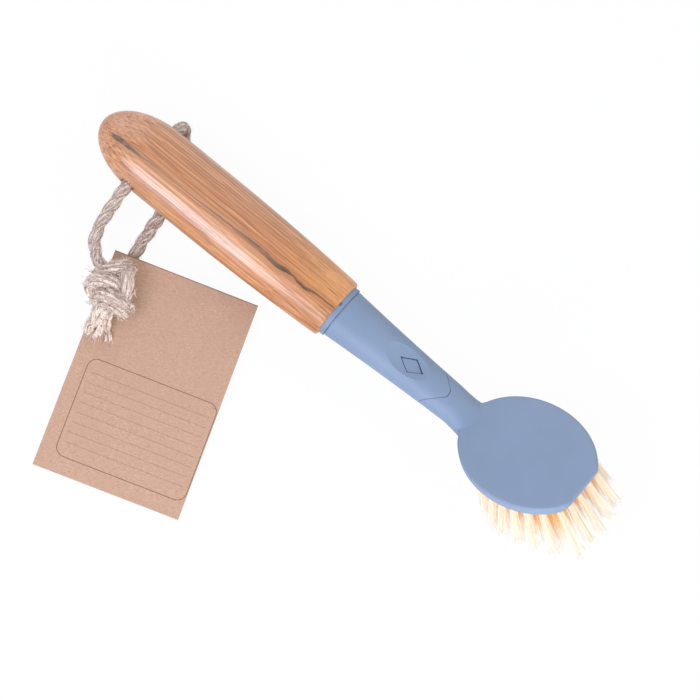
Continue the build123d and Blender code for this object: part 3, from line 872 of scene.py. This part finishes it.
wobble = start.node("TexNoise", {
    "Vector": start.node("CombineXYZ", {"X": length_place * 0.28}),
    "Scale": 1.0,
    "Detail": 3.0,
})
low_line, high_line = streak_line_range
streak_line = along_grip(streak_line_stops) * (high_line - low_line) + low_line
streak_line = streak_line + (wobble - 0.5) * streak_wander
streak_off = (side_place - streak_line).maths("ABSOLUTE")
streak_width = along_grip(streak_width_stops) * streak_half_width
streak_dark = along_grip(streak_dark_stops) * top_place.between(0.0, 3.0)
streak_strands = grain((0.05, 2.4, 2.4), 2.0)
streak_core = 1 - (streak_off / streak_width).between(0.4, 1.0)
streak_halo = 1 - streak_off.between(0.3, 3.2)
tone = (streak_halo * streak_dark * 0.7).mixed(tone, halo_shade)
streak_mask = streak_core * (streak_dark * 1.25).maths("MINIMUM", 1.0)
streak_mask = streak_mask * (0.55 + streak_strands.between(0.35, 0.6) * 0.45)
tone = streak_mask.mixed(tone, streak_shade)
relief = start.node("Bump", {"Height": vessels * 0.7 + pores * 0.3, "Strength": 0.12, "Distance": 0.0003})
bamboo_shader = start.node("BsdfPrincipled", {
    "Base Color": tone,
    "Roughness": 0.5 - vessels * 0.12,
    "Specular IOR Level": 0.25,
    "Coat Weight": (0.6 + vessels.between(0.3, 0.6) * 0.4) * (1 - length_place.between(*coat_fade) * 0.75),
    "Coat Roughness": 0.31,
    "Coat IOR": 1.92,
    "Sheen Weight": 0.15,
    "Sheen Roughness": 0.4,
    "Normal": relief,
})
start.node("OutputMaterial", {"Surface": bamboo_shader})
grip = frame["nodes"]["bamboo_handle"]
grip.data.materials.clear()
grip.data.materials.append(bamboo)

# Neck, head and catch: grey-blue moulded plastic with a fine satin texture. The neck is glued into
# the bamboo, and the head plugs into the neck at the V-shaped parting.
deep_blue, pale_blue = (0.192, 0.265, 0.39), (0.208, 0.283, 0.414)
blue, start = start_material("blue_plastic")
place = start.node("TexCoord", output="Object")
cloud = start.node("TexNoise", {"Vector": place, "Scale": 45.0, "Detail": 2.0})
sparkle = start.node("TexNoise", {"Vector": place, "Scale": 5200.0, "Detail": 2.0})
tint = cloud.between(0.3, 0.7).mixed(deep_blue, pale_blue)
texture = start.node("Bump", {"Height": sparkle, "Strength": 0.12, "Distance": 0.00006})
blue_shader = start.node("BsdfPrincipled", {
    "Base Color": tint,
    "Roughness": 0.46 + sparkle * 0.06,
    "Specular IOR Level": 0.5,
    "Normal": texture,
})
start.node("OutputMaterial", {"Surface": blue_shader})
for name in ("neck_sleeve", "brush_head", "release_catch"):
    node = frame["nodes"][name]
    node.data.materials.clear()
    node.data.materials.append(blue)

# Bristles: tufts of fine nylon filament, cream at the tips. Towards their roots and deep among the tufts
# they are painted amber to stand for shade, and they carry a painted glow. Each tuft is folded round
# its wire anchor in the bed and splays as it leaves it.
plate_slope = plate_tilt + brush_pitch
plate_length, plate_width, plate_thickness = 0.0585, 0.0465, 0.004
scraper_inset = 0.0022
scraper_place = plate_length / 2 - scraper_inset
tuft_inset = 0.0036
first_row_inset = 0.007
last_row_inset = 0.0054
row_count = 10
row_places = np.linspace(first_row_inset - plate_length / 2, scraper_place - last_row_inset, row_count)
tuft_spacing = 0.0054
tuft_root_depth = 0.0005
bristle_length = 0.0243
fan_side, fan_front = math.tan(math.radians(12)), math.tan(math.radians(31))
fan_side_middle, fan_side_growth = 0.6, 0.4
far_side_fan = 0.6
heel_lean, heel_tuck = math.tan(math.radians(19)), math.tan(math.radians(10))
filaments_per_tuft = 62
filament_segments, filament_sides = 4, 4
tuft_root_radius = 0.00095
inner_tuft_growth = 1.1
toe_depth = 0.013
tuft_tip_spread = 1.5
filament_radius = 0.00011
filament_tip_share = 0.8
filament_uneven = 0.018
filament_scatter = 0.0004
floor_gap = 0.0002
plate_matrix = Matrix.Translation(plate_centre) @ Matrix.Rotation(-plate_slope, 4, "Y")
plate_turn = np.array(plate_matrix.to_3x3())

cream_tone, amber_shade_tone = (1.0, 0.965, 0.905), (0.95, 0.63, 0.22)
painted_cream_glow, painted_amber_glow = (0.33, 0.32, 0.295), (0.52, 0.38, 0.17)
worn_tone = (0.99, 0.9, 0.74)
bristle, start = start_material("cream_filament")
place = start.node("TexCoord", output="Object")
shade = start.node("TexNoise", {"Vector": place, "Scale": 900.0, "Detail": 1.0})
tip_share, inner_share, _ = start.node("UVMap", settings={"uv_map": "tuft"}).axes()
# Painted shade: amber at the roots and deepest among the tufts.
painted_amber_shade = (1 - tip_share.between(0.25, 0.95)) * (0.1 + inner_share.between(0.0, 0.3) * 0.9)
cream = painted_amber_shade.mixed(cream_tone, amber_shade_tone)
cream = (shade.between(0.3, 0.7) * 0.12).mixed(cream, worn_tone)
# Painted glow: the filaments give off light of their own, amber where the painted shade is.
filament = start.node("BsdfPrincipled", {
    "Base Color": cream,
    "Roughness": 0.4,
    "Coat Weight": 0.2,
    "Emission Color": painted_amber_shade.mixed(painted_cream_glow, painted_amber_glow),
    "Emission Strength": 0.4,
})
glow = start.node("BsdfTranslucent", {"Color": cream})
start.node("OutputMaterial", {"Surface": start.node("MixShader", {0: 0.55, 1: filament, 2: glow})})

reach_long, reach_wide = plate_length / 2 - tuft_inset, plate_width / 2 - tuft_inset
points_per_filament = (filament_segments + 1) * filament_sides
for row, row_place in enumerate(row_places):
    reach = reach_wide * math.sqrt(1 - (row_place / reach_long) ** 2)
    count = max(round(2 * reach / tuft_spacing) + 1, 2)
    roots, reaches, bends, depths_in = [], [], [], []
    for tuft_place in np.linspace(-reach, reach, count):
        along, across = row_place / reach_long, tuft_place / reach_wide
        depth_in = min(1 - min(along**2 + across**2, 1), (row_places[-1] - row_place) / toe_depth)
        slope_x = fan_front / 2 * (along + along**2) * (1 - (1 - far_side_fan) * max(across, 0))
        slope_x += heel_lean * max(-along, 0)
        slope_y = fan_side * (fan_side_middle + fan_side_growth * along) - heel_tuck * max(-along, 0)
        slope_y *= across
        for _ in range(filaments_per_tuft):
            turn = chance.uniform(0, math.tau)
            out = math.sqrt(chance.uniform()) * np.array((math.cos(turn), math.sin(turn), 0))
            out *= 1 + inner_tuft_growth * min(depth_in * 2, 1)
            root = np.array((row_place, tuft_place, tuft_root_depth - plate_thickness))
            root += out * tuft_root_radius
            length = bristle_length * chance.normal(1.0, filament_uneven)
            lean = np.array((slope_x, slope_y, -1)) * length
            lean += out * tuft_root_radius * tuft_tip_spread + chance.normal(0, filament_scatter, 3)
            bend = chance.normal(0, filament_scatter, 3)
            roots.append(root)
            reaches.append(lean)
            bends.append(bend)
            depths_in.append(depth_in)
    roots = np.array(roots) @ plate_turn.T + np.array(plate_centre)
    reaches = np.array(reaches) @ plate_turn.T
    bends = np.array(bends) @ plate_turn.T
    tip_heights = (roots + reaches + bends)[:, 2]
    floor_share = np.where(
        tip_heights < floor_gap, (roots[:, 2] - floor_gap) / (roots[:, 2] - tip_heights), 1.0
    )[:, None]
    row_shape = (roots, reaches * floor_share, bends * floor_share)
    row_radii = (filament_radius, filament_radius * filament_tip_share)
    row_piece = tapered_threads(
        f"bristles_{row + 1:02d}", *row_shape, row_radii, filament_segments, filament_sides,
        bristle, "bristle", "head",
    )
    row_spread = [
        (spot // filament_sides / filament_segments, depth_in)
        for depth_in in depths_in
        for spot in range(points_per_filament)
    ]
    spread_over(row_piece, "tuft", row_spread)
    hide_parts(f"bristle_row_{row + 1:02d}")

# Bed of the tufts: a cream block of the bristles' own nylon that carries them. It fills the hollow
# under the plate, inside the plate's rim.
bed_wall, bed_tip_wall, bed_gap = 0.0022, 0.0034, 0.00015
bed_thickness = 0.0019
bed_sides = 96
bed_half_length = plate_length / 2 - bed_wall - bed_gap
bed_half_width = plate_width / 2 - bed_wall - bed_gap
bed_front = scraper_place - bed_tip_wall - bed_gap
bed_points = []
for level in (-plate_thickness, -plate_thickness + bed_thickness):
    for side in range(bed_sides):
        turn = math.tau * side / bed_sides
        x = min(bed_half_length * math.cos(turn), bed_front)
        bed_points.append(plate_matrix @ Vector((x, bed_half_width * math.sin(turn), level)))
# The bed takes the bristles' material, painted glow included.
make_piece("bristle_bed", bed_points, tube_faces(0, 2, bed_sides), bristle, "head")

# Anchors: flat pieces of bright steel wire. Each is driven into the bed over the fold of a tuft and
# holds it there.
wire_tone = (0.7, 0.68, 0.62)
anchor_wire, start = start_material("anchor_wire")
brushed = start.node("TexNoise", {"Vector": start.node("TexCoord", output="Object"), "Scale": 2500.0})
wire_shader = start.node("BsdfPrincipled", {
    "Base Color": wire_tone,
    "Metallic": 1.0,
    "Roughness": 0.28 + brushed * 0.15,
})
start.node("OutputMaterial", {"Surface": wire_shader})
anchors = frame["nodes"]["tuft_anchors"]
anchors.data.materials.clear()
anchors.data.materials.append(anchor_wire)
